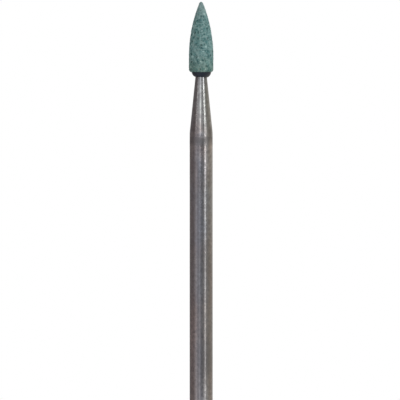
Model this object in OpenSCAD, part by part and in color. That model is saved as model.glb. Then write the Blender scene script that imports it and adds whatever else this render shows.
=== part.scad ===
// Mounted point: a bullet-shaped abrasive stone cemented on a tapered steel shank.
// Millimetres. +Z runs along the axis to the nose of the stone.
// The origin is the centre of the shank's back face.

/* [Shank] */
// Length from the back face to the nose of the stone
overall_length = 44.5; // [36:0.5:60]
// Diameter of the parallel shank that the chuck grips
shank_d = 2.35; // [1.6:0.05:3.2]
// Chamfer round the back face
end_chamfer = 0.3; // [0.1:0.05:0.5]

/* [Neck] */
// Length of the taper from the shank to the stone
neck_length = 6.2; // [4:0.1:12]
// Diameter of the taper where it meets the stone
neck_tip_d = 1.08; // [1.04:0.02:1.4]
// Radius of the soft shoulder between the shank and the taper
shoulder_r = 4; // [1:0.5:12]

/* [Spindle] */
// Diameter of the spindle inside the stone
spindle_d = 1; // [0.7:0.05:1]
// Length of the spindle inside the stone
spindle_length = 4; // [2.5:0.1:4.4]
// Chamfer on the spindle's end
spindle_chamfer = 0.12; // [0.05:0.01:0.2]

/* [Stone] */
// Largest diameter of the stone
stone_d = 2.5; // [2.2:0.05:4]
// Length of the stone from its base to its nose
stone_length = 7.2; // [6.8:0.05:10]
// Length of the parallel belt, measured from the base
belt_length = 1.6; // [0.6:0.1:2.5]
// Radius of the nose
nose_r = 0.2; // [0.1:0.05:0.5]
// Radius of the rounded corner at the base
base_corner_r = 0.26; // [0.1:0.02:0.26]

/* [Cement] */
// Thickness of the cement round the spindle
bond_gap = 0.08; // [0.05:0.01:0.12]
// Thickness of the cement over the spindle's end
bond_end_gap = 0.2; // [0.1:0.05:0.4]
// Width of the stone's base outside the bead
bead_margin = 0.26; // [0.26:0.02:0.4]

/* [Hidden] */

steel_colour = "#8f8c8a";
stone_colour = "#607c7a";
cement_colour = "#242a33";
$fn = 144;
// An arc stands this proud of the stretch that follows it, so that rounding leaves no step at their seam
seam = 0.00002;

shank_r = shank_d / 2;
neck_tip_r = neck_tip_d / 2;
spindle_r = spindle_d / 2;
stone_r = stone_d / 2;
bore_r = spindle_r + bond_gap;

// Heights along the axis
stone_base_z = overall_length - stone_length;
belt_top_z = stone_base_z + belt_length;
nose_centre_z = overall_length - nose_r;
spindle_top_z = stone_base_z + spindle_length;
bore_top_z = spindle_top_z + bond_end_gap;

// The shoulder's arc is tangent to the shank at its foot and to the taper at its head
taper_angle = atan((shank_r - neck_tip_r) / neck_length);
shoulder_z = stone_base_z - neck_length - shoulder_r * tan(taper_angle / 2);
taper_z = shoulder_z + shoulder_r * sin(taper_angle);
taper_r = shank_r - shoulder_r * (1 - cos(taper_angle));

// The ogive's arc is tangent to the belt at its foot and to the nose at its head, which sets its radius
ogive_head_r = nose_r - seam;
ogive_rise = nose_centre_z - belt_top_z;
ogive_r = (pow(stone_r, 2) - pow(ogive_head_r, 2) + pow(ogive_rise, 2)) / (2 * (stone_r - ogive_head_r));
ogive_top_z = nose_centre_z + nose_r * sin(atan2(ogive_rise, ogive_r - stone_r));

// The bead is a quarter round from the spindle's side out to its rim under the stone
bead_round_r = stone_r - bead_margin - spindle_r;

// Straight stretch of a profile: from the axis out to radius r0 at height z0 and r1 at height z1
module stretch(r0, z0, r1, z1) {
    polygon([[0, z0], [r0, z0], [r1, z1], [0, z1]]);
}

// Round stretch of a profile: the outer side of a circle between heights z0 and z1
module round_stretch(centre, r, z0, z1) {
    inner_r = max(0, centre.x);
    outer_r = centre.x + r;
    intersection() {
        translate(centre)
            circle(r);
        polygon([[inner_r, z0], [outer_r, z0], [outer_r, z1], [inner_r, z1]]);
    }
}

// Half section of the steel, from the back face to the spindle's end
module shank_profile() {
    spindle_side_z = spindle_top_z - spindle_chamfer;
    stretch(shank_r - end_chamfer, 0, shank_r, end_chamfer);
    stretch(shank_r, end_chamfer, shank_r, shoulder_z);
    round_stretch([shank_r - shoulder_r, shoulder_z], shoulder_r, shoulder_z, stone_base_z);
    stretch(taper_r - seam, taper_z, neck_tip_r, stone_base_z);
    stretch(spindle_r, stone_base_z, spindle_r, spindle_side_z);
    stretch(spindle_r, spindle_side_z, spindle_r - spindle_chamfer, spindle_top_z);
}

// Half section of the stone's outer form, from its base to its nose
module stone_profile() {
    corner_r = stone_r - base_corner_r;
    corner_z = stone_base_z + base_corner_r;
    stretch(corner_r, stone_base_z, corner_r, corner_z);
    round_stretch([corner_r, corner_z], base_corner_r, stone_base_z, corner_z);
    stretch(stone_r, corner_z, stone_r, belt_top_z);
    round_stretch([stone_r - ogive_r, belt_top_z], ogive_r, belt_top_z, ogive_top_z);
    round_stretch([0, nose_centre_z], nose_r, nose_centre_z, overall_length);
}

// Half section of the blind bore that takes the spindle
module bore_profile() {
    stretch(bore_r, stone_base_z, bore_r, bore_top_z);
}

// Half section of the bead, a quarter round that the neck runs through
module bead_profile() {
    round_stretch([spindle_r, stone_base_z], bead_round_r, stone_base_z - bead_round_r, stone_base_z);
}

// Parallel shank, soft shoulder, taper and spindle, turned as one piece
module shank() {
    color(steel_colour)
        rotate_extrude()
            shank_profile();
}

// Abrasive head, pressed and fired with its bore
module stone() {
    color(stone_colour)
        rotate_extrude()
            difference() {
                stone_profile();
                bore_profile();
            }
}

// Cement that fills the bore round the spindle and stands out as a bead under the stone
module cement() {
    color(cement_colour)
        rotate_extrude()
            difference() {
                union() {
                    bore_profile();
                    bead_profile();
                }
                shank_profile();
            }
}

shank();
stone();
cement();
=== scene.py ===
# %% [markdown]
# # A mounted point
# The object is a small grinding tool: a green abrasive stone, shaped like a bullet and cemented on a thin
# steel shank. It was solid-modelled first, and this lesson dresses it for a picture. Every length is in
# metres and +Z runs along the axis to the nose of the stone, as in the solid model.

# %% Load the solid model
import math

import bpy
import numpy as np
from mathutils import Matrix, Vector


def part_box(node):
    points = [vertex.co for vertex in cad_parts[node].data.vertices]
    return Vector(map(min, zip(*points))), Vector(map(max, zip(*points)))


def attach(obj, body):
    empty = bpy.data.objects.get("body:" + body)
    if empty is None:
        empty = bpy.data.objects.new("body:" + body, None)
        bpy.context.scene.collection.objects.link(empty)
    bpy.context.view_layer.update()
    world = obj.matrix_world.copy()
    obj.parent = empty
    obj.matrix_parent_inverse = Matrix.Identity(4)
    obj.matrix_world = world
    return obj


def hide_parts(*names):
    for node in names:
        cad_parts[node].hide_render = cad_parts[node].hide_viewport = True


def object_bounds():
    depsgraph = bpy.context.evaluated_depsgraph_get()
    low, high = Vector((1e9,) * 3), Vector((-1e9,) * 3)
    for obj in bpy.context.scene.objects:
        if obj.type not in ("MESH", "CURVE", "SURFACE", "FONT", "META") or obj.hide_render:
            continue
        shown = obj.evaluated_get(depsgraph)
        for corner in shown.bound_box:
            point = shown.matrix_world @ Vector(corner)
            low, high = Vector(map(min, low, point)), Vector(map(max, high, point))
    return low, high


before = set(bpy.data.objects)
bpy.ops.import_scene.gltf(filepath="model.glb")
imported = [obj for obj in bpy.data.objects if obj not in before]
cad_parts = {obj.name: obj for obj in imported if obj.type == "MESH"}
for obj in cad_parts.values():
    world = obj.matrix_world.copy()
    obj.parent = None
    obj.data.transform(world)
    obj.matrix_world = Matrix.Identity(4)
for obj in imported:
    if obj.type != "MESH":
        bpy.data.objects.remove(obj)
cad_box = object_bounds()
MM = 0.001
print("solid nodes:", sorted(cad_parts), "box:", [list(corner) for corner in cad_box])

# %% [markdown]
# ## Camera
# The photograph looks straight at the side of the upright tool. The edges of the stone and of its bead stay
# flat lines, which means that the camera was far away behind a long lens. The scale comes from the shank:
# its standard diameter covers a known number of pixels, so the distance follows from the lens.

# %% Camera
IMAGE_PIXELS = 400
PIXELS_PER_MM = 9.78
AXIS_COLUMN = 201.15
NOSE_ROW = 1.8
LENS_MM = 800
SENSOR_MM = 36

nose_z = cad_box[1][2]
view_width = IMAGE_PIXELS / PIXELS_PER_MM * MM
camera_distance = view_width * LENS_MM / SENSOR_MM
aim_x = (IMAGE_PIXELS / 2 - AXIS_COLUMN) / PIXELS_PER_MM * MM
aim_z = nose_z - (IMAGE_PIXELS / 2 - NOSE_ROW) / PIXELS_PER_MM * MM

camera_data = bpy.data.cameras.new("camera")
camera_data.lens = LENS_MM
camera_data.sensor_width = SENSOR_MM
camera = bpy.data.objects.new("camera", camera_data)
camera.location = (aim_x, -camera_distance, aim_z)
camera.rotation_euler = (math.radians(90), 0, 0)
scene = bpy.context.scene
scene.collection.objects.link(camera)
scene.camera = camera
scene.view_settings.view_transform = "Standard"
print("camera at", [round(c, 4) for c in camera.location])

# %% [markdown]
# ## Turning a profile
# All three pieces were made round: the shank on a lathe, the stone in a round mould and the cement between
# them. A profile is a list of (radius, height) points that starts and ends on the axis. Blender's Spin tool
# could turn it, but whole numpy arrays are quicker and leave each ring of points free to be changed later.

# %% Profile helpers
def line(start, end, steps=1):
    """Straight stretch of a profile: equal steps from start to end, without the start point itself."""
    t = np.linspace(0, 1, steps + 1)[1:, None]
    return np.array(start) + (np.array(end) - np.array(start)) * t


def arc(centre, radius, start_angle, end_angle, steps):
    """Round stretch of a profile: centre plus radius times (cosine, sine), without the start point itself.
    The radius is one number, or two for an ellipse."""
    a = np.radians(np.linspace(start_angle, end_angle, steps + 1)[1:])
    return np.array(centre) + radius * np.stack([np.cos(a), np.sin(a)], axis=-1)


def turn(radii, heights, around):
    """Rings of a turned surface: x is r times cosine, y is r times sine and z is h, at equal angles.
    Radii and heights are one value a ring, or one value a point."""
    a = np.arange(around) * 2 * np.pi / around
    r = np.broadcast_to(np.reshape(radii, (len(radii), -1)), (len(radii), around))
    z = np.broadcast_to(np.reshape(heights, (len(heights), -1)), r.shape)
    return np.stack([r * np.cos(a), r * np.sin(a), z], axis=-1)


# %% Mesh helper
def closed_mesh(name, rings, start, end):
    """Mesh of rings, each joined to the next by quads, with a fan of triangles to a pole at both ends."""
    m, n = rings.shape[:2]
    points = np.vstack([rings.reshape(-1, 3), start, end])
    j = np.arange(n)
    k = (j + 1) % n
    low = np.arange(m - 1)[:, None] * n
    quads = np.stack([low + j, low + k, low + n + k, low + n + j], axis=-1)
    top = (m - 1) * n
    first = np.stack([np.full(n, m * n), k, j], axis=-1)
    last = np.stack([np.full(n, m * n + 1), top + j, top + k], axis=-1)
    sizes = np.repeat([4, 3], [quads.size // 4, 2 * n])
    corners = np.concatenate([quads.ravel(), first.ravel(), last.ravel()])

    mesh = bpy.data.meshes.new(name)
    mesh.vertices.add(len(points))
    mesh.vertices.foreach_set("co", points.ravel())
    mesh.loops.add(len(corners))
    mesh.loops.foreach_set("vertex_index", corners.astype(np.int32))
    mesh.polygons.add(len(sizes))
    mesh.polygons.foreach_set("loop_start", (np.cumsum(sizes) - sizes).astype(np.int32))
    mesh.update(calc_edges=True)
    mesh.shade_smooth()
    return mesh


def add_piece(mesh, node):
    """Object for a mesh that stands for a solid node, whose own object it hides."""
    piece = bpy.data.objects.new(mesh.name, mesh)
    scene.collection.objects.link(piece)
    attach(piece, "root")
    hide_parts(node)
    triangles = sum(len(p.vertices) - 2 for p in mesh.polygons)
    print(f"{mesh.name}: {triangles} triangles in place of {node}")
    return piece


# %% [markdown]
# ## Shank
# The shank is one turned steel piece. A chuck grips the long parallel part, a soft shoulder leads into the
# taper, and a thin spindle goes on into the stone. The solid model's mesh has few facets, which polished
# metal would show, so the same profile is turned again with many more. Angles between stretches over 20
# degrees stay sharp, as the lathe leaves them.

# %% Shank
AROUND_SHANK = 160
END_CHAMFER = 0.3 * MM
NECK_LENGTH = 6.2 * MM
NECK_TIP_R = 0.54 * MM
SHOULDER_R = 4 * MM
SPINDLE_R = 0.5 * MM
SPINDLE_CHAMFER = 0.12 * MM
SHANK_STEPS = 60
SHOULDER_STEPS = 12
NECK_STEPS = 20
SPINDLE_STEPS = 8
SHARP_ANGLE = math.radians(20)

shank_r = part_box("shank")[1][0]
spindle_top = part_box("shank")[1][2]
stone_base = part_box("stone")[0][2]
taper_angle = math.atan((shank_r - NECK_TIP_R) / NECK_LENGTH)
shoulder_z = stone_base - NECK_LENGTH - SHOULDER_R * math.tan(taper_angle / 2)

end_edge = (shank_r - END_CHAMFER, 0)
shank_edge = (shank_r, END_CHAMFER)
shoulder_foot = (shank_r, shoulder_z)
shoulder_centre = (shank_r - SHOULDER_R, shoulder_z)
shoulder = arc(shoulder_centre, SHOULDER_R, 0, math.degrees(taper_angle), SHOULDER_STEPS)
neck_tip = (NECK_TIP_R, stone_base)
spindle_foot = (SPINDLE_R, stone_base)
spindle_edge = (SPINDLE_R, spindle_top - SPINDLE_CHAMFER)
spindle_end = (SPINDLE_R - SPINDLE_CHAMFER, spindle_top)
shank_profile = np.vstack([
    end_edge,
    line(end_edge, shank_edge),
    line(shank_edge, shoulder_foot, SHANK_STEPS),
    shoulder,
    line(shoulder[-1], neck_tip, NECK_STEPS),
    line(neck_tip, spindle_foot),
    line(spindle_foot, spindle_edge, SPINDLE_STEPS),
    line(spindle_edge, spindle_end),
])
shank_rings = turn(shank_profile[:, 0], shank_profile[:, 1], AROUND_SHANK)
shank_mesh = closed_mesh("steel_shank", shank_rings, (0, 0, 0), (0, 0, spindle_top))
shank_mesh.set_sharp_from_angle(angle=SHARP_ANGLE)
shank = add_piece(shank_mesh, "shank")

# %% [markdown]
# ## Form of the stone
# The stone's side is an ogive, a long arc that runs into a parallel belt below and a small round nose above
# without a corner. Being tangent to both sets the arc's radius, by Pythagoras on the two arcs' centres. The
# corner at the base is a quarter of an ellipse, a little taller than it is wide. The profile is then sampled
# again at equal steps of its length, so that the grain has even facets everywhere.

# %% Form of the stone
AROUND_STONE = 336
STONE_RINGS = 250
BELT_LENGTH = 1.6 * MM
NOSE_R = 0.2 * MM
BASE_CORNER_R = 0.26 * MM
BASE_CORNER_RISE = 0.36 * MM
BORE_R = 0.58 * MM
FINE_STEPS = 60
OGIVE_STEPS = 400

stone_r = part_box("stone")[1][0]
bore_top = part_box("cement")[1][2]
belt_top = stone_base + BELT_LENGTH
rise = nose_z - NOSE_R - belt_top
ogive_r = (stone_r**2 - NOSE_R**2 + rise**2) / (2 * (stone_r - NOSE_R))
ogive_angle = math.degrees(math.atan2(rise, ogive_r - stone_r))

corner_size = np.array((BASE_CORNER_R, BASE_CORNER_RISE))
corner_centre = np.array((stone_r, stone_base)) + corner_size * (-1, 1)
base_rim = corner_centre - (0, BASE_CORNER_RISE)
belt_foot = corner_centre + (BASE_CORNER_R, 0)
fine_profile = np.vstack([
    base_rim,
    arc(corner_centre, corner_size, -90, 0, FINE_STEPS),
    line(belt_foot, (stone_r, belt_top), FINE_STEPS),
    arc((stone_r - ogive_r, belt_top), ogive_r, 0, ogive_angle, OGIVE_STEPS),
    arc((0, nose_z - NOSE_R), NOSE_R, ogive_angle, 90, FINE_STEPS),
])
run = np.concatenate([[0], np.cumsum(np.hypot(*np.diff(fine_profile, axis=0).T))])
even = np.linspace(0, run[-1], STONE_RINGS + 1)[:-1]
skin = np.stack([np.interp(even, run, fine_profile[:, c]) for c in (0, 1)], axis=-1)
print(f"ogive radius {ogive_r / MM:.2f} mm, one ring every {even[1] / MM:.3f} mm")

# %% [markdown]
# ## Grain of the stone
# A fired abrasive is grit held by a little glass, so its surface is made of grains that stand at different
# heights, with pale bridges of bond between them. A bump map would leave the outline too smooth. Here each
# cell of a lattice holds one grain at a random place, and every point of the skin finds its nearest grain.
# The grain's own random number lifts it, and the way down to its edge rounds it off. A second, coarser
# lattice makes clumps of grains. Some of them have fallen out and left a pore, which is sunk and painted
# dark as shade in the hole, and others show as pale flecks.

# %% Grain helper
LATTICE = 64


def nearest_grain(points, size, rng):
    """For each point: distance to the nearest grain centre, how much further the second one is, and the
    nearest grain's random number. Cell (i, j, k) of a lattice of cubes holds one grain, so only the 27
    cells around a point are compared. Distances are in grain sizes."""
    cells = np.floor(points / size).astype(int)
    grains = rng.random((LATTICE, LATTICE, LATTICE, 4))
    nearest = np.full(points.shape[:-1], np.inf)
    second = nearest.copy()
    number = np.zeros_like(nearest)
    for step in np.ndindex(3, 3, 3):
        cell = cells + np.array(step) - 1
        grain = grains[tuple(np.moveaxis(cell % LATTICE, -1, 0))]
        distance = np.linalg.norm(points / size - cell - grain[..., :3], axis=-1)
        number = np.where(distance < nearest, grain[..., 3], number)
        second = np.minimum(second, np.maximum(distance, nearest))
        nearest = np.minimum(distance, nearest)
    return nearest, second - nearest, number


# %% Stone
SEED = 7
GRAIN = 0.15 * MM
GRAIN_LIFT = 0.028 * MM
GRAIN_ROUND = 0.03 * MM
MIDDLE_NUMBER = 0.5
MIDDLE_REACH = 0.4
CLUMP = 0.33 * MM
BOND_WIDTH = 0.3
PORE_WIDTH = 0.5
PORE_SHARE = 0.2
PORE_DEPTH = 0.045 * MM
FLECK_WIDTH = 0.5
FLECK_SHARE = 0.2
BORE_STEPS = 6

smooth = turn(skin[:, 0], skin[:, 1], AROUND_STONE)
along = np.gradient(skin, axis=0)
along /= np.linalg.norm(along, axis=1, keepdims=True)
outward = turn(along[:, 1], -along[:, 0], AROUND_STONE)

rng = np.random.default_rng(SEED)
grain_reach, _, grain_number = nearest_grain(smooth, GRAIN, rng)
clump_reach, clump_gap, clump_number = nearest_grain(smooth, CLUMP, rng)
bond = np.clip(1 - clump_gap / BOND_WIDTH, 0, 1)
pore = np.clip(1 - clump_reach / PORE_WIDTH, 0, 1) * (clump_number < PORE_SHARE)
fleck = np.clip(1 - clump_reach / FLECK_WIDTH, 0, 1) * (clump_number > 1 - FLECK_SHARE)
lift = GRAIN_LIFT * (grain_number - MIDDLE_NUMBER) + GRAIN_ROUND * (MIDDLE_REACH - grain_reach)
lift -= PORE_DEPTH * pore
fade = np.clip(even / BASE_CORNER_R, 0, 1)[:, None]
rough = smooth + outward * (lift * fade)[..., None]

bore = np.vstack([
    (BORE_R, bore_top),
    line((BORE_R, bore_top), (BORE_R, stone_base), BORE_STEPS),
])
stone_rings = np.concatenate([turn(bore[:, 0], bore[:, 1], AROUND_STONE), rough])
nose = rough[-1].mean(axis=0)
stone_mesh = closed_mesh("abrasive_stone", stone_rings, (0, 0, bore_top), nose)
print(f"grain stands from {lift.min() / MM:.3f} to {lift.max() / MM:.3f} mm")


# %% Grain as attributes
def store(mesh, name, skin_values, rest):
    """One number a point: skin_values on the stone's skin and their last ring's mean on its nose, and rest on
    the bore and its pole."""
    bore_points = len(mesh.vertices) - 2 - skin_values.size
    poles = [rest, skin_values[-1].mean()]
    values = np.concatenate([np.full(bore_points, rest), skin_values.ravel(), poles])
    mesh.attributes.new(name, "FLOAT", "POINT").data.foreach_set("value", values.astype(np.float32))


store(stone_mesh, "grain", grain_number, MIDDLE_NUMBER)
store(stone_mesh, "bond", bond, 0)
store(stone_mesh, "pore", pore, 0)
store(stone_mesh, "fleck", fleck, 0)
stone = add_piece(stone_mesh, "stone")

# %% [markdown]
# ## Bead of cement
# Black cement fills the bore round the spindle, and what was squeezed out stands as a bead under the stone.
# It was put on by hand, so it is a little fuller on one side and its size changes slowly with the angle. The
# bead runs from its rim under the stone to its foot on the neck. Its profile is the quarter of an ellipse,
# with the sine and cosine raised to a power, which makes it leaner than a plain round. The foot's radius
# follows from the taper at every angle, so the bead always ends on the steel.

# %% Bead of cement
AROUND_BEAD = 160
BEAD_STEPS = 24
BEAD_LEAN = 0.06
BEAD_TALL = 1.04
BEAD_POWER = 1.2
BEAD_WAVE = 0.012
BEAD_WAVES = 5
BEAD_SHARP_ANGLE = math.radians(50)

bead_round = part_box("cement")[1][0] - SPINDLE_R
turn_angle = np.arange(AROUND_BEAD) * 2 * np.pi / AROUND_BEAD
bead_size = bead_round * (1 + BEAD_LEAN * np.cos(turn_angle))
bead_size *= 1 + BEAD_WAVE * np.sin(BEAD_WAVES * turn_angle)
rim_r = SPINDLE_R + bead_size
foot_drop = BEAD_TALL * bead_size
foot_r = NECK_TIP_R + foot_drop * math.tan(taper_angle)

sweep = np.linspace(math.pi / 2, 0, BEAD_STEPS + 1)[:, None]
bead_r = foot_r + (rim_r - foot_r) * np.cos(sweep) ** BEAD_POWER
bead_z = stone_base - foot_drop * np.sin(sweep) ** BEAD_POWER
inside = np.vstack([
    spindle_end,
    line(spindle_end, spindle_edge),
    line(spindle_edge, spindle_foot, SPINDLE_STEPS),
    line(spindle_foot, neck_tip),
])
outside = np.vstack([
    (BORE_R, stone_base),
    line((BORE_R, stone_base), (BORE_R, bore_top), SPINDLE_STEPS),
])
bead_rings = np.concatenate([
    turn(inside[:, 0], inside[:, 1], AROUND_BEAD),
    turn(bead_r, bead_z, AROUND_BEAD),
    turn(outside[:, 0], outside[:, 1], AROUND_BEAD),
])
bead_mesh = closed_mesh("cement_bead", bead_rings, (0, 0, spindle_top), (0, 0, bore_top))
bead_mesh.set_sharp_from_angle(angle=BEAD_SHARP_ANGLE)
bead = add_piece(bead_mesh, "cement")

# %% [markdown]
# ## Shared masks
# No surface of the tool has one even colour: the steel is streaked and a little tarnished, the stone varies
# from patch to patch and the cement has a dusty film. All three use one node group, a noise that can be
# stretched along an axis and cut to a mask, with its own scale and limits in each place. Some finishes also
# change along the tool, so a second group makes a mask of the height. With groups, each of these effects is
# built once, and a change to it reaches every material.

# %% Group helpers
def start_group(name, **inputs):
    """New node group with an output called Mask. Each named input is a "Float" or a "Vector"."""
    group = bpy.data.node_groups.new(name, "ShaderNodeTree")
    for socket_name, kind in inputs.items():
        group.interface.new_socket(socket_name, in_out="INPUT", socket_type="NodeSocket" + kind)
    group.interface.new_socket("Mask", in_out="OUTPUT", socket_type="NodeSocketFloat")
    return group, group.nodes.new("NodeGroupInput").outputs, group.nodes.new("NodeGroupOutput").inputs


def link(tree, *pairs):
    """Wires of a node tree: each pair is an output socket and the input socket that it feeds."""
    for source, target in pairs:
        tree.links.new(source, target)


# %% Mottle group
NOISE_DETAIL = 4

mottle, given, result = start_group("mottle", Stretch="Vector", Scale="Float", Low="Float", High="Float")
where = mottle.nodes.new("ShaderNodeTexCoord")
mapping = mottle.nodes.new("ShaderNodeMapping")
noise = mottle.nodes.new("ShaderNodeTexNoise")
noise.inputs["Detail"].default_value = NOISE_DETAIL
limits = mottle.nodes.new("ShaderNodeMapRange")
link(mottle,
     (where.outputs["Object"], mapping.inputs["Vector"]),
     (given["Stretch"], mapping.inputs["Scale"]),
     (mapping.outputs["Vector"], noise.inputs["Vector"]),
     (given["Scale"], noise.inputs["Scale"]),
     (noise.outputs["Fac"], limits.inputs["Value"]),
     (given["Low"], limits.inputs["From Min"]),
     (given["High"], limits.inputs["From Max"]),
     (limits.outputs["Result"], result["Mask"]))
print("node group:", mottle.name)

# %% Height group
height_mask, given, result = start_group("height_mask", Low="Float", High="Float")
where = height_mask.nodes.new("ShaderNodeTexCoord")
split = height_mask.nodes.new("ShaderNodeSeparateXYZ")
limits = height_mask.nodes.new("ShaderNodeMapRange")
link(height_mask,
     (where.outputs["Object"], split.inputs["Vector"]),
     (split.outputs["Z"], limits.inputs["Value"]),
     (given["Low"], limits.inputs["From Min"]),
     (given["High"], limits.inputs["From Max"]),
     (limits.outputs["Result"], result["Mask"]))
print("node group:", height_mask.name)

# %% Mask helpers
EVEN = (1, 1, 1)


def add_group(tree, group, **values):
    """Mask from a shared group, with these values on its inputs."""
    node = tree.nodes.new("ShaderNodeGroup")
    node.node_tree = group
    for name, value in values.items():
        node.inputs[name].default_value = value
    return node.outputs["Mask"]


def add_mottle(tree, size, limits, stretch=EVEN):
    """Mask from the mottle. Size is the distance from one patch to the next, in metres. The mask goes from 0
    where the noise is at its lower limit to 1 where it is at the higher one."""
    return add_group(tree, mottle, Stretch=stretch, Scale=1 / size, Low=limits[0], High=limits[1])


def add_height(tree, low, high):
    """Mask that goes from 0 at one height to 1 at another, which may be the lower one."""
    return add_group(tree, height_mask, Low=low, High=high)


# %% Material helpers
FIRST_COLOUR = 6
SECOND_COLOUR = 7
MIXED_COLOUR = 2


def start_material(name):
    """New node material, with its node tree and its Principled shader at hand."""
    material = bpy.data.materials.new(name)
    material.use_nodes = True
    return material.node_tree, material.node_tree.nodes["Principled BSDF"], material


def feed(tree, socket, value):
    """Gives an input socket its value: a wire from another socket, a colour or a number."""
    if isinstance(value, bpy.types.NodeSocket):
        tree.links.new(value, socket)
    else:
        socket.default_value = (*value, 1) if isinstance(value, tuple) else value


def add_mix(tree, factor, first, second, kind="MIX"):
    """Mix of two colours by a factor. Each may be a value or a socket. The Mix node has sockets for other
    kinds of value under the same names, so those for colours are found by their places."""
    node = tree.nodes.new("ShaderNodeMix")
    node.data_type = "RGBA"
    node.blend_type = kind
    feed(tree, node.inputs["Factor"], factor)
    feed(tree, node.inputs[FIRST_COLOUR], first)
    feed(tree, node.inputs[SECOND_COLOUR], second)
    return node.outputs[MIXED_COLOUR]


def add_math(tree, kind, first, second):
    """Arithmetic on two numbers or sockets."""
    node = tree.nodes.new("ShaderNodeMath")
    node.operation = kind
    feed(tree, node.inputs[0], first)
    feed(tree, node.inputs[1], second)
    return node.outputs["Value"]


def add_range(tree, value, low, high, kind="LINEAR"):
    """A mask from 0 to 1 turned into a number from low to high, evenly or by another kind of step."""
    node = tree.nodes.new("ShaderNodeMapRange")
    node.interpolation_type = kind
    tree.links.new(value, node.inputs["Value"])
    node.inputs["To Min"].default_value = low
    node.inputs["To Max"].default_value = high
    return node.outputs["Result"]


def add_film(tree, base, mask, strength, film):
    """Base colour with a film of another colour over it where the mask says, at this strength at most."""
    return add_mix(tree, add_range(tree, mask, 0, strength), base, film)


def add_bump(tree, shader, height, depth):
    """Relief on a shader's normal: a height from 0 to 1 stands for this depth, in metres."""
    node = tree.nodes.new("ShaderNodeBump")
    node.inputs["Distance"].default_value = depth
    tree.links.new(height, node.inputs["Height"])
    tree.links.new(node.outputs["Normal"], shader.inputs["Normal"])


# %% [markdown]
# ## Steel
# The shank is plain steel, ground round and long in use. Grinding leaves rings so fine that only the light
# shows them, use leaves streaks, dashes and shallow pits, and thin films have settled on it: brown in patches
# and towards the end that the chuck grips, bluish elsewhere. The mottle makes most of these, stretched across
# the shank for the rings and along it for the streaks. Below the shoulder is a darker and rougher ring, and
# the chuck has worn the edge of the end chamfer bright. Next to the bead the neck is darker: painted shade
# from the black bead above it.

# %% Steel mottles
SOFT = (0.3, 0.7)
BROWN_SIZE = 2.6 * MM
BROWN_LIMITS = (0.42, 0.68)
BROWN_STRETCH = (1, 1, 0.45)
BLUE_SIZE = 1.7 * MM
BLUE_LIMITS = (0.45, 0.7)
BLUE_STRETCH = (1, 1, 0.4)
STREAK_SIZE = 0.24 * MM
STREAK_STRETCH = (1, 1, 0.02)
DASH_SIZE = 0.16 * MM
DASH_LIMITS = (0.38, 0.72)
DASH_STRETCH = (1, 1, 0.2)
FINE_RING_SIZE = 0.06 * MM
BAND_SIZE = 0.4 * MM
RING_STRETCH = (0.1, 0.1, 1)
PIT_SIZE = 0.36 * MM
PIT_LIMITS = (0.36, 0.68)

tree, steel_shader, steel = start_material("ground_steel")
brown = add_mottle(tree, BROWN_SIZE, BROWN_LIMITS, BROWN_STRETCH)
blue = add_mottle(tree, BLUE_SIZE, BLUE_LIMITS, BLUE_STRETCH)
streaks = add_mottle(tree, STREAK_SIZE, SOFT, STREAK_STRETCH)
dashes = add_mottle(tree, DASH_SIZE, DASH_LIMITS, DASH_STRETCH)
fine_rings = add_mottle(tree, FINE_RING_SIZE, SOFT, RING_STRETCH)
bands = add_mottle(tree, BAND_SIZE, SOFT, RING_STRETCH)
pits = add_mottle(tree, PIT_SIZE, PIT_LIMITS)
print("steel mottles:", len(tree.nodes), "nodes")

# %% Steel zones
RING_LOW = 29.7 * MM
RING_FULL = 30.1 * MM
RING_EDGE = 30.65 * MM
RING_HIGH = 30.75 * MM
RING_LEAST = 0.7
GRIP_TOP = 22 * MM
EDGE_WEAR = 0.12 * MM
EDGE_LEAST = 0.3
BEAD_SHADE_LOW = stone_base - MM
BEAD_SHADE_HIGH = stone_base - 0.5 * MM


def add_zone(tree, low, full_low, full_high, high):
    """Mask by height that goes up from low to full_low, and down again from full_high to high."""
    return add_math(tree, "MULTIPLY", add_height(tree, low, full_low), add_height(tree, high, full_high))


grip = add_height(tree, GRIP_TOP, 0)
ring = add_zone(tree, RING_LOW, RING_FULL, RING_EDGE, RING_HIGH)
ring = add_math(tree, "MULTIPLY", ring, add_range(tree, pits, RING_LEAST, 1))
edge = add_zone(tree, END_CHAMFER - EDGE_WEAR, END_CHAMFER, END_CHAMFER, END_CHAMFER + EDGE_WEAR)
edge = add_math(tree, "MULTIPLY", edge, add_range(tree, pits, 1, EDGE_LEAST))
# Painted shade: the neck is darker just below the black bead.
bead_shade = add_height(tree, BEAD_SHADE_LOW, BEAD_SHADE_HIGH)
print("steel mottles and zones:", len(tree.nodes), "nodes")
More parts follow.
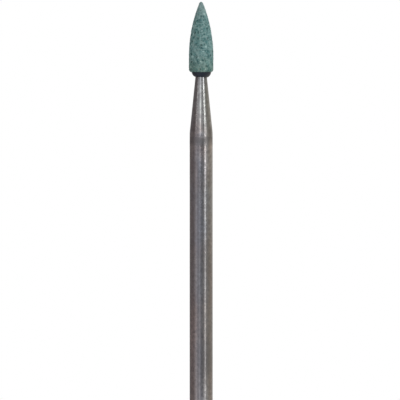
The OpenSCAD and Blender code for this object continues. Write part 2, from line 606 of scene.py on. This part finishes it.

# %% [markdown]
# Some marks are larger, each a soft spot at a set place on the near or the far side. On the near side they
# brighten or dim the shank's reflections: the bright spots on the highlight lines, at the shoulder, below the
# ring and at the foot are painted highlight, the pale warm ones beside and below the ring and low on the left
# are painted reflection, and the dull, dark and brown ones dim the reflections. On the far side the spots are
# rubbed bright or gone dull, and on both sides the taper stayed clean where it was ground last. A Mapping
# node in its Texture mode moves the spot to the origin and makes it a ball of radius 1, so the distance from
# the origin is all that the mask needs.

# %% Marks and painted highlights
STEEL = (0.385, 0.385, 0.385)
STEEL_BROWN = (0.305, 0.245, 0.225)
STEEL_BLUE = (0.3, 0.315, 0.35)
STEEL_CLEAN = (0.4, 0.425, 0.405)
STEEL_BRIGHT = (0.56, 0.54, 0.55)
STEEL_PALE_WARM = (0.5, 0.43, 0.41)
STEEL_DULL = (0.2, 0.19, 0.195)
STEEL_DARK = (0.15, 0.145, 0.145)
# Near side (y below 0): bright spots are painted highlight, pale warm ones painted reflection.
MARKS_AND_HIGHLIGHTS_MM = (
    ((0.15, -0.6, 34.2), (1.6, 1.6, 4.2), STEEL_CLEAN, 0.8),
    ((-0.68, -0.87, 31.4), (0.4, 0.7, 1.5), STEEL_DULL, 0.7),
    ((0.98, -0.65, 31.1), (0.4, 0.7, 1.3), STEEL_DARK, 0.9),
    ((0.12, -1.15, 30.95), (0.65, 0.7, 0.55), STEEL_BRIGHT, 1),
    ((0, -1.15, 30.15), (0.6, 0.9, 0.6), STEEL_DARK, 1),
    ((0.1, -1.1, 29.5), (1.1, 0.8, 0.6), STEEL_BROWN, 0.6),
    ((0.1, -1.1, 28.9), (1.1, 0.8, 0.7), STEEL_PALE_WARM, 0.35),
    ((1, -0.6, 29.75), (0.55, 0.7, 1.1), STEEL_PALE_WARM, 0.9),
    ((0.62, -1, 28.3), (0.5, 1.2, 2.6), STEEL_BRIGHT, 0.7),
    ((-0.02, -1.17, 26), (0.26, 0.6, 3.2), STEEL_DULL, 0.6),
    ((-0.35, -1.1, 24.8), (0.9, 0.9, 4), STEEL_DULL, 0.45),
    ((0.5, -1.1, 17.6), (1.3, 1.3, 3.2), STEEL_DULL, 0.5),
    ((-1.1, -0.4, 10.3), (1.2, 1.2, 6.5), STEEL_PALE_WARM, 1),
    ((0.6, -1, 7.8), (1.6, 1.3, 3.6), STEEL_DULL, 0.8),
    ((0.35, -1.1, 3.2), (0.7, 0.9, 3.6), STEEL_BRIGHT, 1),
    ((0, 0.6, 34.2), (1.6, 1.6, 4.2), STEEL_CLEAN, 0.8),
    ((0.2, 1.1, 31), (0.8, 0.7, 0.6), STEEL_BRIGHT, 0.9),
    ((-0.6, 1, 27.6), (0.7, 0.9, 2.8), STEEL_BRIGHT, 0.6),
    ((0.6, 1, 24.2), (1, 0.9, 3.4), STEEL_DULL, 0.6),
    ((1, 0.6, 17.5), (1, 1.1, 4.4), STEEL_PALE_WARM, 0.8),
    ((-0.4, 1.1, 15.5), (0.8, 0.9, 3.8), STEEL_DULL, 0.6),
    ((-0.9, 0.7, 6.5), (1.1, 1.1, 4.6), STEEL_PALE_WARM, 0.9),
    ((0.4, 1.1, 5), (0.6, 0.9, 3), STEEL_BRIGHT, 0.8),
)


def add_mark(tree, centre, reach):
    """Mask that is 1 at a centre and fades to 0 at its reach from there along each axis, in millimetres."""
    where = tree.nodes.new("ShaderNodeTexCoord")
    mapping = tree.nodes.new("ShaderNodeMapping")
    mapping.vector_type = "TEXTURE"
    mapping.inputs["Location"].default_value = [c * MM for c in centre]
    mapping.inputs["Scale"].default_value = [c * MM for c in reach]
    distance = tree.nodes.new("ShaderNodeVectorMath")
    distance.operation = "LENGTH"
    fade = tree.nodes.new("ShaderNodeMapRange")
    fade.interpolation_type = "SMOOTHSTEP"
    fade.inputs["From Min"].default_value = 1
    fade.inputs["From Max"].default_value = 0
    link(tree,
         (where.outputs["Object"], mapping.inputs["Vector"]),
         (mapping.outputs["Vector"], distance.inputs[0]),
         (distance.outputs["Value"], fade.inputs["Value"]))
    return fade.outputs["Result"]


# %% Steel colour
GRIP_FILM = 0.6
RING_FILM = 0.8
STREAK_FILM = 0.2
DASH_FILM = 0.35
PIT_FILM = 0.7
EDGE_FILM = 0.8
BEAD_SHADE_FILM = 0.5

metal = add_mix(tree, brown, STEEL, STEEL_BROWN)
metal = add_mix(tree, blue, metal, STEEL_BLUE)
metal = add_film(tree, metal, grip, GRIP_FILM, STEEL_BROWN)
metal = add_film(tree, metal, ring, RING_FILM, STEEL_DARK)
# Near-side bright spots are painted highlight, pale warm ones painted reflection.
for centre, reach, film, strength in MARKS_AND_HIGHLIGHTS_MM:
    metal = add_film(tree, metal, add_mark(tree, centre, reach), strength, film)
metal = add_film(tree, metal, streaks, STREAK_FILM, STEEL_DULL)
metal = add_film(tree, metal, dashes, DASH_FILM, STEEL_DULL)
metal = add_film(tree, metal, pits, PIT_FILM, STEEL_DULL)
metal = add_film(tree, metal, edge, EDGE_FILM, STEEL_BRIGHT)
# Painted shade from the bead, at the top of the neck.
metal = add_film(tree, metal, bead_shade, BEAD_SHADE_FILM, STEEL_DARK)
tree.links.new(metal, steel_shader.inputs["Base Color"])
steel_shader.inputs["Metallic"].default_value = 1
print("marks of use:", len(MARKS_AND_HIGHLIGHTS_MM))

# %% [markdown]
# The relief is at most about a hundredth of a millimetre deep, but on bright metal that is enough to break up
# the reflections. The taper was ground finer than the shank, so its relief is less than half as deep.

# %% Steel surface
STEEL_RELIEF = 0.0012 * MM
STREAK_DEPTH = 2
BAND_DEPTH = 3
PIT_DEPTH = 3
TAPER_SHARE = 0.4
STEEL_ROUGH = (0.14, 0.22)
DASH_ROUGH = 0.08
RING_ROUGH = 0.2

roughness = add_range(tree, streaks, *STEEL_ROUGH)
roughness = add_math(tree, "ADD", roughness, add_range(tree, dashes, 0, DASH_ROUGH))
roughness = add_math(tree, "ADD", roughness, add_range(tree, ring, 0, RING_ROUGH))
tree.links.new(roughness, steel_shader.inputs["Roughness"])

relief = fine_rings
for mask, depth in ((streaks, STREAK_DEPTH), (bands, BAND_DEPTH), (pits, PIT_DEPTH)):
    relief = add_math(tree, "ADD", relief, add_math(tree, "MULTIPLY", mask, depth))
taper = add_height(tree, RING_LOW, RING_HIGH)
relief = add_math(tree, "MULTIPLY", relief, add_range(tree, taper, 1, TAPER_SHARE))
add_bump(tree, steel_shader, relief, STEEL_RELIEF)
shank.data.materials.append(steel)
print("steel nodes:", len(tree.nodes))

# %% [markdown]
# ## Abrasive
# Green silicon carbide is a mix of dark and light grains in a grey-green bond. The grains' numbers were
# stored on the mesh, so colour and relief belong to the same grains. Each grain breaks up into crystals that
# are too small for the mesh, so a Voronoi texture gives every crystal a tone, a height and a shine of its
# own.

# %% Crystals
CRYSTAL = 0.07 * MM
CRYSTAL_TONE = 0.2
SPECK = 0.06 * MM
SPECK_LIMITS = (0.35, 0.7)
SPECK_TONE = 0.3


def add_attribute(tree, name):
    """Number stored on the mesh under this name."""
    node = tree.nodes.new("ShaderNodeAttribute")
    node.attribute_name = name
    return node.outputs["Fac"]


def add_crystals(tree, size):
    """For crystals of this size, in metres: a random number each, and a height that is that number less the
    distance from the crystal's centre."""
    where = tree.nodes.new("ShaderNodeTexCoord")
    cells = tree.nodes.new("ShaderNodeTexVoronoi")
    cells.inputs["Scale"].default_value = 1 / size
    split = tree.nodes.new("ShaderNodeSeparateColor")
    tree.links.new(where.outputs["Object"], cells.inputs["Vector"])
    tree.links.new(cells.outputs["Color"], split.inputs["Color"])
    number = split.outputs["Red"]
    return number, add_math(tree, "SUBTRACT", number, cells.outputs["Distance"])


tree, grit_shader, abrasive = start_material("green_abrasive")
crystal, crystal_height = add_crystals(tree, CRYSTAL)
specks = add_mottle(tree, SPECK, SPECK_LIMITS)
tone = add_math(tree, "ADD", add_attribute(tree, "grain"), add_range(tree, specks, -SPECK_TONE, SPECK_TONE))
tone = add_math(tree, "ADD", tone, add_range(tree, crystal, -CRYSTAL_TONE, CRYSTAL_TONE))
print(f"crystals of {CRYSTAL / MM:.2f} mm")

# %% [markdown]
# Bond shows in two ways: round the clumps of grains, and as pale veins that wander between them. A vein is a
# ridge of the mottle: Ping-pong folds the mask at its middle, so it is brightest along a thin line. The
# flecks are grains of a paler tone, and the crystals break them into bright points that are painted glints.
# The specks make the pores ragged.

# %% Bond and grit
GRIT_DARK = (0.018, 0.072, 0.07)
GRIT_LIGHT = (0.132, 0.29, 0.28)
GRIT_BLUE = (0.072, 0.187, 0.206)
BOND_PALE = (0.275, 0.41, 0.395)
FLECK_PALE = (0.43, 0.62, 0.6)
PORE_SHADE = (0.02, 0.05, 0.05)
PATCH_SIZE = 0.9 * MM
PATCH_LIMITS = (0.35, 0.65)
PATCH_FILM = 0.4
VEIN_SIZE = 0.6 * MM
VEIN_LIMITS = (0.43, 0.57)
VEIN_FOLD = 0.5
VEIN_STRENGTH = 1.5
BOND_STRENGTH = 0.3
FLECK_PAINTED_GLINT = 2
PORE_RAGGED = (1.5, 0.5)

patches = add_mottle(tree, PATCH_SIZE, PATCH_LIMITS)
folded = add_math(tree, "PINGPONG", add_mottle(tree, VEIN_SIZE, VEIN_LIMITS), VEIN_FOLD)
veins = add_math(tree, "MULTIPLY", folded, VEIN_STRENGTH)
bridges = add_math(tree, "MULTIPLY", add_attribute(tree, "bond"), BOND_STRENGTH)
# Painted glints: the crystals brighten points of the pale flecks.
flecks = add_math(tree, "MULTIPLY", add_attribute(tree, "fleck"), add_range(tree, crystal, 0, FLECK_PAINTED_GLINT))
pores = add_math(tree, "MULTIPLY", add_attribute(tree, "pore"), add_range(tree, specks, *PORE_RAGGED))

grit = add_mix(tree, tone, GRIT_DARK, GRIT_LIGHT)
grit = add_film(tree, grit, patches, PATCH_FILM, GRIT_BLUE)
grit = add_mix(tree, bridges, grit, BOND_PALE)
grit = add_mix(tree, veins, grit, BOND_PALE)
grit = add_mix(tree, flecks, grit, FLECK_PALE)
# Painted shade in the sunk pores.
grit = add_mix(tree, pores, grit, PORE_SHADE)
print("bond and grit:", len(tree.nodes), "nodes")

# %% [markdown]
# Towards its base the stone is darker, which is painted shade next to the cement, and less blue. Its nose
# is pale, partly from wear and partly as painted light from above. The face of a crystal may be dull or
# shiny, so the roughness follows the crystals.

# %% Abrasive
BASE_TINT = (0.89, 0.84, 0.75)
BASE_TOP = stone_base + 1.8 * MM
NOSE_PALE = (0.35, 0.43, 0.43)
NOSE_LOW = nose_z - 1.8 * MM
NOSE_FILM = 0.5
GRIT_ROUGH = (0.95, 0.45)
GRIT_RELIEF = 0.012 * MM
LOW_GLOSS = 0.3

# Painted shade towards the base, next to the cement, which also turns less blue.
grit = add_mix(tree, add_height(tree, BASE_TOP, stone_base), grit, BASE_TINT, "MULTIPLY")
# Paler nose: partly wear, partly painted light from above.
grit = add_film(tree, grit, add_height(tree, NOSE_LOW, nose_z), NOSE_FILM, NOSE_PALE)
tree.links.new(grit, grit_shader.inputs["Base Color"])
tree.links.new(add_range(tree, crystal, *GRIT_ROUGH), grit_shader.inputs["Roughness"])
grit_shader.inputs["Specular IOR Level"].default_value = LOW_GLOSS
add_bump(tree, grit_shader, add_math(tree, "ADD", specks, crystal_height), GRIT_RELIEF)
stone.data.materials.append(abrasive)
print("abrasive nodes:", len(tree.nodes))

# %% [markdown]
# ## Cement
# The cement is a black resin that cured with a soft shine. Its film of grinding dust is thin, so it changes
# the roughness more than the colour.

# %% Cement
RESIN = (0.006, 0.0105, 0.021)
RESIN_DUST = (0.013, 0.019, 0.031)
RESIN_ROUGH = (0.3, 0.5)
RESIN_RELIEF = 0.004 * MM
DUST_SIZE = 0.3 * MM
DUST_LIMITS = (0.35, 0.7)
DIMPLE_SIZE = 0.09 * MM

tree, resin_shader, resin = start_material("black_cement")
dust = add_mottle(tree, DUST_SIZE, DUST_LIMITS)
dimples = add_mottle(tree, DIMPLE_SIZE, SOFT)
tree.links.new(add_mix(tree, dust, RESIN, RESIN_DUST), resin_shader.inputs["Base Color"])
tree.links.new(add_range(tree, dust, *RESIN_ROUGH), resin_shader.inputs["Roughness"])
resin_shader.inputs["Specular IOR Level"].default_value = LOW_GLOSS
add_bump(tree, resin_shader, dimples, RESIN_RELIEF)
bead.data.materials.append(resin)
print("cement nodes:", len(tree.nodes))

# %% [markdown]
# ## White surroundings
# The photograph's background is plain white. The world is white wherever the camera or a reflection looks
# at it, and dimmer where it lights the tool, so the background takes no part in the exposure. The floor does
# the same far from the tool, and near it is an ordinary pale surface that keeps the tool's shadow. A third
# node group makes a mask of the distance from the tool's foot, for the floor here and the light tent later.

# %% World
AMBIENT = 0.5

world = bpy.data.worlds.new("white_room")
world.use_nodes = True
scene.world = world


def seen_directly(tree):
    """1 for rays from the camera, from a reflection or through glass, and 0 for light on the objects."""
    path = tree.nodes.new("ShaderNodeLightPath")
    seen = add_math(tree, "MAXIMUM", path.outputs["Is Camera Ray"], path.outputs["Is Glossy Ray"])
    return add_math(tree, "MAXIMUM", seen, path.outputs["Is Transmission Ray"])


tree = world.node_tree
background = tree.nodes["Background"]
background.inputs["Color"].default_value = (1, 1, 1, 1)
tree.links.new(add_range(tree, seen_directly(tree), AMBIENT, 1), background.inputs["Strength"])
print("ambient light:", AMBIENT)

# %% Distance group
distance_mask, given, result = start_group("distance_mask", Low="Float", High="Float")
where = distance_mask.nodes.new("ShaderNodeTexCoord")
distance = distance_mask.nodes.new("ShaderNodeVectorMath")
distance.operation = "LENGTH"
limits = distance_mask.nodes.new("ShaderNodeMapRange")
link(distance_mask,
     (where.outputs["Object"], distance.inputs[0]),
     (distance.outputs["Value"], limits.inputs["Value"]),
     (given["Low"], limits.inputs["From Min"]),
     (given["High"], limits.inputs["From Max"]),
     (limits.outputs["Result"], result["Mask"]))
print("node group:", distance_mask.name)


def add_distance(tree, low, high):
    """Mask that goes from 0 at one distance from the origin to 1 at another, which may be the lesser one."""
    return add_group(tree, distance_mask, Low=low, High=high)


# %% Floor
FLOOR_HALF = 0.7
FLOOR_NEAR = 25 * MM
FLOOR_FAR = 55 * MM
FLOOR_PALE = 0.86
FLOOR_ROUGH = 0.9

floor_corners = FLOOR_HALF * np.array([(-1, -1, 0), (1, -1, 0), (1, 1, 0), (-1, 1, 0)])
floor_mesh = bpy.data.meshes.new("floor")
floor_mesh.from_pydata(floor_corners.tolist(), [], [(0, 1, 2, 3)])
floor = bpy.data.objects.new("floor", floor_mesh)
scene.collection.objects.link(floor)

tree, floor_shader, floor_paint = start_material("pale_floor")
floor_shader.inputs["Base Color"].default_value = (FLOOR_PALE, FLOOR_PALE, FLOOR_PALE, 1)
floor_shader.inputs["Roughness"].default_value = FLOOR_ROUGH
far = add_range(tree, add_distance(tree, FLOOR_NEAR, FLOOR_FAR), 0, 1, "SMOOTHSTEP")
white = tree.nodes.new("ShaderNodeEmission")
blend = tree.nodes.new("ShaderNodeMixShader")
link(tree,
     (add_math(tree, "MULTIPLY", far, seen_directly(tree)), blend.inputs["Fac"]),
     (floor_shader.outputs["BSDF"], blend.inputs[1]),
     (white.outputs["Emission"], blend.inputs[2]),
     (blend.outputs["Shader"], tree.nodes["Material Output"].inputs["Surface"]))
floor_mesh.materials.append(floor_paint)
print("floor half width:", FLOOR_HALF)

# %% [markdown]
# ## Light tent
# Bright metal shows its surroundings, and in an all-white room it would look white too. A photographer
# stands the tool in a tent of grey cards, which draw long dark and light bands down the steel. The tent here
# is a closed drum round the tool that only reflections can see. Its greys follow the angle from the camera,
# dim towards the foot of the wall and the roof, and grow pale on the base near the tool, as the floor would.

# %% Light tent
TENT_R = 0.32
TENT_LOW = 0.3 * MM
TENT_HIGH = 0.4
TENT_AROUND = 96

tent_profile = np.array([(TENT_R, TENT_LOW), (TENT_R, TENT_HIGH)])
tent_rings = turn(tent_profile[:, 0], tent_profile[:, 1], TENT_AROUND)
tent_mesh = closed_mesh("tent", tent_rings, (0, 0, TENT_LOW), (0, 0, TENT_HIGH))
tent = bpy.data.objects.new("tent", tent_mesh)
scene.collection.objects.link(tent)
tent.visible_camera = False
tent.visible_diffuse = False
tent.visible_shadow = False
tent.visible_transmission = False
print("tent radius:", TENT_R)

# %% Tent cards
TENT_CARDS = (
    (-180, (0.6, 0.57, 0.56)),
    (-172, (1.1, 1.07, 1.06)),
    (-164, (0.4, 0.37, 0.37)),
    (-150, (0.28, 0.26, 0.26)),
    (-118, (0.36, 0.32, 0.32)),
    (-82, (0.36, 0.32, 0.32)),
    (-70, (0.47, 0.42, 0.42)),
    (-58, (0.8, 0.745, 0.76)),
    (-46, (0.93, 0.91, 0.97)),
    (-34, (0.5, 0.51, 0.55)),
    (-26, (0.56, 0.57, 0.62)),
    (-16, (0.93, 0.96, 1.05)),
    (-6, (0.46, 0.48, 0.53)),
    (4, (0.37, 0.385, 0.42)),
    (16, (0.4, 0.415, 0.43)),
    (30, (0.54, 0.55, 0.55)),
    (60, (0.62, 0.62, 0.58)),
    (82, (0.62, 0.59, 0.52)),
    (96, (0.68, 0.635, 0.55)),
    (112, (0.72, 0.675, 0.59)),
    (132, (0.92, 0.88, 0.8)),
    (150, (0.6, 0.55, 0.49)),
    (168, (0.42, 0.38, 0.35)),
    (180, (0.6, 0.57, 0.56)),
)
FULL_TURN = 360
HALF = 0.5

tent_paint = bpy.data.materials.new("tent_cards")
tent_paint.use_nodes = True
tree = tent_paint.node_tree
where = tree.nodes.new("ShaderNodeTexCoord")
split = tree.nodes.new("ShaderNodeSeparateXYZ")
tree.links.new(where.outputs["Object"], split.inputs["Vector"])
toward = add_math(tree, "MULTIPLY", split.outputs["Y"], -1)
angle = add_math(tree, "ARCTAN2", split.outputs["X"], toward)
turned = add_math(tree, "ADD", add_math(tree, "DIVIDE", angle, 2 * math.pi), HALF)
ramp = tree.nodes.new("ShaderNodeValToRGB")
stops = ramp.color_ramp.elements
while len(stops) < len(TENT_CARDS):
    stops.new(1)
for stop, (degrees, grey) in zip(stops, TENT_CARDS):
    stop.position = degrees / FULL_TURN + HALF
    stop.color = (*grey, 1)
tree.links.new(turned, ramp.inputs["Fac"])
print("tent cards:", len(TENT_CARDS))

# %% Tent brightness
FLOOR_CARD = 0.56
FLOOR_CARD_TOP = 20 * MM
ROOF_CARD = 0.72
ROOF_CARD_LOW = 45 * MM
ROOF_CARD_HIGH = 90 * MM
BASE_CARD = 2.3
BASE_NEAR = 40 * MM
BASE_FAR = 250 * MM

card = tree.nodes.new("ShaderNodeEmission")
above_floor = add_range(tree, add_height(tree, 0, FLOOR_CARD_TOP), FLOOR_CARD, 1)
below_roof = add_range(tree, add_height(tree, ROOF_CARD_LOW, ROOF_CARD_HIGH), 1, ROOF_CARD)
walls = add_math(tree, "MULTIPLY", above_floor, below_roof)
base = add_range(tree, add_distance(tree, BASE_FAR, BASE_NEAR), 1, BASE_CARD)
link(tree,
     (ramp.outputs["Color"], card.inputs["Color"]),
     (add_math(tree, "MULTIPLY", walls, base), card.inputs["Strength"]),
     (card.outputs["Emission"], tree.nodes["Material Output"].inputs["Surface"]))
tent_mesh.materials.append(tent_paint)
print("tent nodes:", len(tree.nodes))

# %% [markdown]
# ## Lamps
# Small soft lamps stand close to the tool. A strip and a spot to the right draw the bright line down the
# shank, and end near the shoulder, where the ring stays dark. A tall strip straight behind the tool draws
# such a line down its far side. The taper leans back and so looks higher up, where it has lamps of its own:
# two strips and a dim skirt to the right, a narrow panel and a wide glow in front, and a small lamp to the
# left. Two large panels, to the right and weaker from behind, light the stone and stay out of sight of the
# metal.

# %% Lamp helper
def add_lamp(name, azimuth, distance, height, target, size, brightness):
    """Panel lamp at an azimuth to the right of the camera, in degrees, that faces a height on the axis. Its
    power is its brightness times pi times its area."""
    data = bpy.data.lights.new(name, "AREA")
    data.shape = "RECTANGLE"
    data.size, data.size_y = size
    data.energy = brightness * math.pi * size[0] * size[1]
    lamp = bpy.data.objects.new(name, data)
    a = math.radians(azimuth)
    lamp.location = (distance * math.sin(a), -distance * math.cos(a), height)
    lamp.rotation_euler = (math.radians(90) - math.atan2(height - target, distance), 0, a)
    scene.collection.objects.link(lamp)
    print(f"{name}: {data.energy:.5f} W")
    return lamp


# %% Lamps
LAMP_DISTANCE = 70 * MM
SHANK_LAMPS_MM = (
    ("shank_strip", 41, 13, (14, 25), 1.6),
    ("shank_spot", 41, 28, (14, 7), 3.2),
    ("back_strip", 180, 30, (10, 56), 2.2),
)
NECK_LAMPS_MM = (
    ("neck_strip", 44, 40.5, (32, 15), 0.7),
    ("neck_top_strip", 43, 53.5, (18, 10), 5.4),
    ("neck_skirt", 56, 45, (14, 18), 0.3),
    ("neck_panel", -8, 44.5, (12, 27), 1.5),
    ("neck_glow", -10, 47.5, (75, 23), 0.55),
    ("neck_side", -54, 46, (6, 6), 2.4),
)
PANELS = (
    ("stone_light", 65, 3.3),
    ("back_light", -145, 1.6),
)
PANEL_DISTANCE = 0.3
PANEL_HEIGHT = 0.32
PANEL_SIZE = (0.2, 0.25)
neck_middle = stone_base - NECK_LENGTH / 2

for name, azimuth, height, (width, tall), brightness in SHANK_LAMPS_MM:
    add_lamp(name, azimuth, LAMP_DISTANCE, height * MM, height * MM, (width * MM, tall * MM), brightness)
for name, azimuth, height, (width, tall), brightness in NECK_LAMPS_MM:
    add_lamp(name, azimuth, LAMP_DISTANCE, height * MM, neck_middle, (width * MM, tall * MM), brightness)
for name, azimuth, brightness in PANELS:
    panel = add_lamp(name, azimuth, PANEL_DISTANCE, PANEL_HEIGHT, stone_base, PANEL_SIZE, brightness)
    panel.visible_glossy = False
